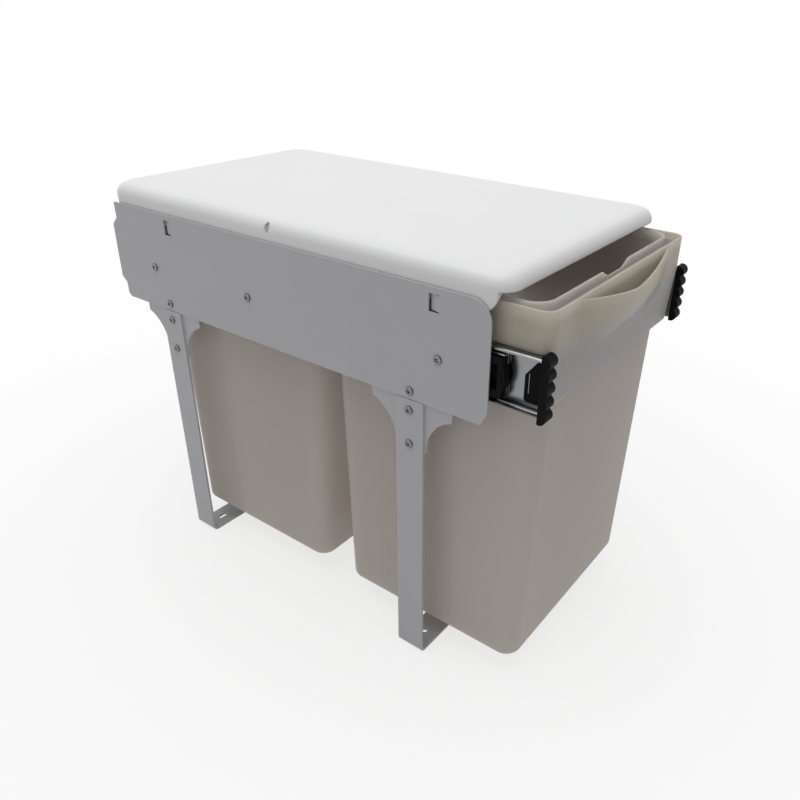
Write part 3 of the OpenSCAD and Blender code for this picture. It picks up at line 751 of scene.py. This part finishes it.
def bin_rings():
    """From the middle of the underside up the outside, over the rim, down to the inner floor."""
    outer, inner = NOTCH_HALF
    half_notch = [outer + 0.7, outer, outer - 0.7]
    half_notch += [outer - (outer - inner) * t for t in (0.3, 0.6)]
    half_notch += [inner + 0.7, inner, inner - 0.7, 5.0]
    front = sorted([-v for v in half_notch] + half_notch)

    def ring(z, side, ahead, radius, behind=None):
        behind = ahead if behind is None else behind
        points = outline(BIN_HALF - side, -BIN_DEPTH / 2 + ahead, BIN_DEPTH / 2 - behind,
                         radius, front)
        if z > NOTCHED_ABOVE:
            return [(x, y, z - (notch_drop(x) if i < len(front) else 0))
                    for i, (x, y) in enumerate(points)]
        return [(x, y, z) for x, y in points]

    def body(z, inset):
        k = (BIN_TOP - z) / (BIN_TOP - BIN_FOOT)
        radius = BIN_RADII[0] + (BIN_RADII[1] - BIN_RADII[0]) * k
        return ring(z, BIN_TAPER[0] * k + inset, BIN_TAPER[1] * k + inset, radius - inset)

    rings = [body(BIN_FOOT, BIN_FLOOR_R + 1)]
    for across, up in reversed(quarter(6)):
        rings.append(body(BIN_FOOT + BIN_FLOOR_R * up, BIN_FLOOR_R * across))
    rings += [body(BIN_FOOT + BIN_FLOOR_R + 1, 0), body(FLANGE[0] - 1, 0), body(FLANGE[0], 0)]
    low, high = FLANGE
    for z, cut in ((low, 0.3), (low + 0.3, 0), (high - 0.5, 0), (high - 0.1, 0.2), (high, 0.6)):
        rings.append(ring(z, cut - FLANGE_WIDER, cut - FLANGE_LONGER, FLANGE_R - cut))
    for down, cut in ((BIN_TOP - high, 0), (BIN_TOP - high - 0.6, 0), (1.3, 0), (0.6, 0.2),
                      (0.15, 0.6), (0, 1.1), (0.15, 1.6), (0.6, 2.0), (1.3, 2.2)):
        rings.append(ring(BIN_TOP - down, cut - RIM_WIDER, cut + RIM_BACK, RIM_R - cut, cut))
    rings.append(ring(high + 0.5, -1.0, 7.4, 16.8, 2.2))
    rings.append(body(high - 8, BIN_WALL))
    floor_z, floor_r = BIN_FOOT + BIN_WALL, BIN_FLOOR_R - 1
    for across, up in quarter(6):
        rings.append(body(floor_z + floor_r * up, BIN_WALL + floor_r * across))
    rings.append(body(floor_z, BIN_WALL + floor_r + 1))
    return rings


class BINFRAME_OT_bins(bpy.types.Operator):
    """The two bins, each with a rim over the carrier's shelf and a finger notch"""
    bl_idname = "bin_frame.bins"
    bl_label = "Bins"

    def execute(self, context):
        plastic = moulded_plastic("glossy_bin", colours().bins, 0.2, 0.9, 0.003, through=0.62)
        rings = bin_rings()
        for node, centre in BIN_CENTRES.items():
            bm = bmesh.new()
            skin(bm, [[(x, y + centre, z) for x, y, z in ring] for ring in rings], closed=False)
            made = piece(node + "_moulding", bm, plastic, "carriage")
            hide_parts(node)
        return {"FINISHED"}


# Lid

LID_HALF = 139.8
LID_FRONT = -90.0
LID_BACK = 410.0
LID_TOP = 418.5
LID_R = 13.0
LID_CORNER = 19.0
LID_WALL = 2.4
LID_EDGE = 404.4
LID_SKIRT = 386.0
LID_STEP = 0.35
# The edge stays high to this inset from the front and back, then curves down over LID_CURVE
LID_HIGH = 10
LID_CURVE = 16
# The hole's centre, its half width, its stretch up the roll, and its place on the roll
HOLE_Y = 166.0
HOLE_R = 2.6
HOLE_STRETCH = 1.9
HOLE_DEPTH = 8
HOLE_TURN = 22.3
# Notches that sit on the panels' pressed tongues
LANCES = (-31.0, 306.0)
LANCE_LONG = 13.0
LANCE_PLAY = 2.0
LANCE_TOP = 391.8


def lid_foot(y):
    """Height of the lid's lower edge: high across the front and the back, low along the sides."""
    inset = min(y - LID_FRONT, LID_BACK - y)
    if inset <= LID_HIGH:
        return LID_EDGE
    if inset < LID_HIGH + LID_CURVE:
        t = (LID_HIGH + LID_CURVE - inset) / LID_CURVE
        return LID_SKIRT + (LID_EDGE - LID_SKIRT) * (1 - math.sqrt(max(0, 1 - t * t)))
    for lance in LANCES:
        if lance - LANCE_PLAY - 0.01 <= y <= lance + LANCE_LONG + 0.01:
            return LANCE_TOP
    return LID_SKIRT


def lid_rings():
    """From the middle of the top out over the rolled edge, down the skirt and back up inside."""
    curve = [LID_CURVE - LID_CURVE * math.cos(math.radians(a)) for a in range(0, 60, 10)]
    end = LID_HIGH + LID_CURVE
    sides = [LID_FRONT + end - v for v in curve] + [LID_BACK - end + v for v in curve]
    for lance in LANCES:
        sides += [lance - LANCE_PLAY - 0.1, lance - LANCE_PLAY,
                  lance + LANCE_LONG, lance + LANCE_LONG + 0.1]
    sides += [100.0, 160.0, 164.0, 168.0, 172.0, 230.0]
    sides = sorted(sides)

    def ring(inset, z=None, share=None, lift=0, side=0, corner_r=None):
        radius = max(1.5, LID_CORNER - inset * 0.5) if corner_r is None else corner_r
        points = outline(LID_HALF - inset - side, LID_FRONT + inset, LID_BACK - inset, radius,
                         (), sides)
        if share is None:
            return [(x, y, z) for x, y in points]
        top = LID_TOP - LID_R
        return [(x, y, lid_foot(y) + lift + (top - lid_foot(y) - lift) * share)
                for x, y in points]

    # The flat top, the fine step round it, and the rolled edge
    rings = [ring(13.4, LID_TOP, side=3.2, corner_r=12.2),
             ring(12.6, LID_TOP, side=3.0, corner_r=12.6),
             ring(12.2, LID_TOP - 0.05, side=2.9, corner_r=12.8),
             ring(11.9, LID_TOP - LID_STEP + 0.05, side=2.8, corner_r=13),
             ring(11.5, LID_TOP - LID_STEP, side=2.6, corner_r=13.2)]
    for i in range(1, 15):
        a = math.radians(90 - 90 * i / 14)
        z = LID_TOP - LID_STEP - (LID_R - LID_STEP) * (1 - math.sin(a))
        rings.append(ring(11.5 * (1 - math.cos(a)), z, side=2.6 * (1 - math.cos(a)) ** 2))
    # Down the skirt, round its lower edge and back up inside
    rings += [ring(0, share=0.9), ring(0, share=0.12), ring(0, share=0, lift=0.7)]
    rings += [ring(0.35, share=0, lift=0.15), ring(LID_WALL / 2, share=0)]
    rings += [ring(LID_WALL - 0.35, share=0, lift=0.15), ring(LID_WALL, share=0, lift=0.7)]
    rings.append(ring(LID_WALL, share=1))
    inner = LID_R - LID_WALL
    for i in range(1, 9):
        a = math.radians(90 * i / 8)
        z = LID_TOP - LID_R + (inner - LID_STEP) * math.sin(a)
        rings.append(ring(LID_WALL + inner * (1 - math.cos(a)), z))
    rings.append(ring(LID_R + 1, LID_TOP - LID_WALL - LID_STEP))
    return rings


class BINFRAME_OT_lid(bpy.types.Operator):
    """Lid with rolled edges, a fine step round its flat top and a small hole on the left"""
    bl_idname = "bin_frame.lid"
    bl_label = "Lid"

    def execute(self, context):
        bm = bmesh.new()
        skin(bm, lid_rings(), closed=False)
        plastic = moulded_plastic("white_lid", colours().lid, 0.38, 0.9, 0.012)
        made = piece("lid_moulding", bm, plastic, "lid")
        self.hole(context, made)
        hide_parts("lid")
        return {"FINISHED"}

    @staticmethod
    def hole(context, made):
        """Cuts the small hole in the left rolled edge."""
        turn = math.radians(HOLE_TURN)
        middle = Vector((-LID_HALF + LID_R * (1 - math.cos(turn)), HOLE_Y,
                         LID_TOP - LID_R * (1 - math.sin(turn))))
        bm = bmesh.new()
        place = (Matrix.Translation(middle * MM) @ Matrix.Rotation(math.pi / 2 + turn, 4, "Y")
                 @ Matrix.Diagonal((HOLE_STRETCH, 1, 1, 1)))
        bmesh.ops.create_cone(bm, cap_ends=True, segments=32, radius1=HOLE_R * MM,
                              radius2=HOLE_R * MM, depth=HOLE_DEPTH * MM, matrix=place)
        mesh = bpy.data.meshes.new("hole_pin")
        bm.to_mesh(mesh)
        bm.free()
        pin = bpy.data.objects.new("hole_pin", mesh)
        context.scene.collection.objects.link(pin)
        cut = made.modifiers.new("hole", "BOOLEAN")
        cut.operation = "DIFFERENCE"
        cut.solver = "EXACT"
        cut.object = pin
        context.view_layer.update()
        shown = made.evaluated_get(context.evaluated_depsgraph_get())
        result = bpy.data.meshes.new_from_object(shown)
        if len(result.polygons) <= len(made.data.polygons):
            raise RuntimeError("the lid's hole wasn't cut")
        made.modifiers.clear()
        made.data = result
        bpy.data.objects.remove(pin)
        bpy.data.meshes.remove(mesh)


# Stage, in metres

FLOOR_R = 6
UNIT_MIDDLE = (0, 0.15, 0.3)
# Distances from the unit's middle between which the floor's shadow fades out
SHADOW_NEAR = 0.2
SHADOW_FAR = 0.9
LAMP_PLACE = (-0.1, 0.25, 1.9)
LAMP_WIDTH = 1.6


class BINFRAME_OT_stage(bpy.types.Operator):
    """Plain pale floor, soft light from above and the camera"""
    bl_idname = "bin_frame.stage"
    bl_label = "Stage"

    def execute(self, context):
        self.floor(context)
        self.light(context)
        self.camera(context)
        return {"FINISHED"}

    @staticmethod
    def seen(tree):
        """1 for the rays that show the background: straight, mirrored or through glass."""
        path = add(tree, "ShaderNodeLightPath")
        first = add(tree, "ShaderNodeMath", links={0: path.outputs["Is Camera Ray"],
                    1: path.outputs["Is Glossy Ray"]}, operation="MAXIMUM")
        last = add(tree, "ShaderNodeMath", links={0: first.outputs[0],
                   1: path.outputs["Is Transmission Ray"]}, operation="MAXIMUM")
        return last.outputs[0]

    def floor(self, context):
        bm = bmesh.new()
        bmesh.ops.create_circle(bm, cap_ends=True, segments=96, radius=FLOOR_R)
        mesh = bpy.data.meshes.new("floor")
        bm.to_mesh(mesh)
        bm.free()
        ground = bpy.data.objects.new("floor", mesh)
        context.scene.collection.objects.link(ground)
        material, tree = blank("matt_floor")
        seen = self.seen(tree)
        pale = add(tree, "ShaderNodeMix",
                   {"A": shade(colours().floor, 1), "B": (0.98, 0.98, 0.98, 1)},
                   {"Factor": seen}, data_type="RGBA")
        lit = add(tree, "ShaderNodeBsdfDiffuse", links={"Color": pale.outputs["Result"]})
        glow = add(tree, "ShaderNodeEmission", {"Color": (1, 1, 1, 1), "Strength": 1.0})
        # The lit share keeps the shadow near the unit and fades out with distance
        place = add(tree, "ShaderNodeTexCoord").outputs["Object"]
        far = add(tree, "ShaderNodeVectorMath", {1: UNIT_MIDDLE[:2] + (0,)}, {0: place},
                  operation="DISTANCE")
        share = add(tree, "ShaderNodeMapRange",
                    {"From Min": SHADOW_NEAR, "From Max": SHADOW_FAR,
                     "To Min": 0.72, "To Max": 1.0},
                    {"Value": far.outputs["Value"]})
        factor = add(tree, "ShaderNodeMath", links={0: share.outputs["Result"], 1: seen},
                     operation="MULTIPLY")
        close(tree, add(tree, "ShaderNodeMixShader",
                        links={0: factor.outputs[0], 1: lit.outputs[0], 2: glow.outputs[0]}))
        mesh.materials.append(material)

    def light(self, context):
        world = bpy.data.worlds.new("studio")
        context.scene.world = world
        world.use_nodes = True
        tree = world.node_tree
        tree.nodes.clear()
        fill = sizes().fill_strength
        white = add(tree, "ShaderNodeMapRange", {"To Min": fill, "To Max": 1.0},
                    {"Value": self.seen(tree)})
        sky = add(tree, "ShaderNodeBackground", {"Color": (1, 1, 1, 1)},
                  {"Strength": white.outputs["Result"]})
        add(tree, "ShaderNodeOutputWorld", links={"Surface": sky.outputs[0]})
        lamp = bpy.data.lights.new("softbox", "AREA")
        lamp.shape = "RECTANGLE"
        lamp.size = LAMP_WIDTH
        lamp.size_y = LAMP_WIDTH
        lamp.energy = sizes().key_power
        box = bpy.data.objects.new("softbox", lamp)
        box.location = LAMP_PLACE
        aim = Vector(UNIT_MIDDLE) - Vector(LAMP_PLACE)
        box.rotation_euler = aim.to_track_quat("-Z", "Y").to_euler()
        context.scene.collection.objects.link(box)
        context.scene.view_settings.view_transform = "Standard"

    def camera(self, context):
        yaw, pitch, roll = (math.radians(a) for a in (CAMERA_YAW, CAMERA_PITCH, CAMERA_ROLL))
        ahead = Vector((math.cos(pitch) * math.cos(yaw), math.cos(pitch) * math.sin(yaw),
                        math.sin(pitch)))
        right = ahead.cross(Vector((0, 0, 1))).normalized()
        up = right.cross(ahead)
        across = right * math.cos(roll) + up * math.sin(roll)
        upright = up * math.cos(roll) - right * math.sin(roll)
        lens = bpy.data.cameras.new("camera")
        lens.sensor_width = 36
        lens.lens = CAMERA_LENS
        lens.shift_x, lens.shift_y = CAMERA_SHIFT
        eye = bpy.data.objects.new("camera", lens)
        turn = Matrix((across, upright, -ahead)).transposed().to_4x4()
        eye.matrix_world = Matrix.Translation(CAMERA_PLACE) @ turn
        context.scene.collection.objects.link(eye)
        context.scene.camera = eye


class BINFRAME_PT_panel(bpy.types.Panel):
    """Sidebar panel with the steps and their values"""
    bl_idname = "BINFRAME_PT_panel"
    bl_label = "Bin Frame"
    bl_space_type = "VIEW_3D"
    bl_region_type = "UI"
    bl_category = "Bin Frame"

    def draw(self, context):
        layout = self.layout
        for step in STEPS:
            layout.operator(step.bl_idname)
        for group in (context.scene.bin_frame_sizes, context.scene.bin_frame_colours):
            for name in group.__annotations__:
                layout.prop(group, name)


STEPS = (BINFRAME_OT_stage, BINFRAME_OT_frame_metal, BINFRAME_OT_screws, BINFRAME_OT_slides,
         BINFRAME_OT_carrier, BINFRAME_OT_bins, BINFRAME_OT_lid)
CLASSES = (BinFrameColours, BinFrameSizes) + STEPS + (BINFRAME_PT_panel,)


def register():
    for kind in CLASSES:
        bpy.utils.register_class(kind)
    bpy.types.Scene.bin_frame_colours = PointerProperty(type=BinFrameColours)
    bpy.types.Scene.bin_frame_sizes = PointerProperty(type=BinFrameSizes)


def unregister():
    del bpy.types.Scene.bin_frame_sizes
    del bpy.types.Scene.bin_frame_colours
    for kind in reversed(CLASSES):
        bpy.utils.unregister_class(kind)


def main():
    register()
    for step in STEPS:
        group, name = step.bl_idname.split(".")
        getattr(getattr(bpy.ops, group), name)()


if __name__ == "__main__":
    main()
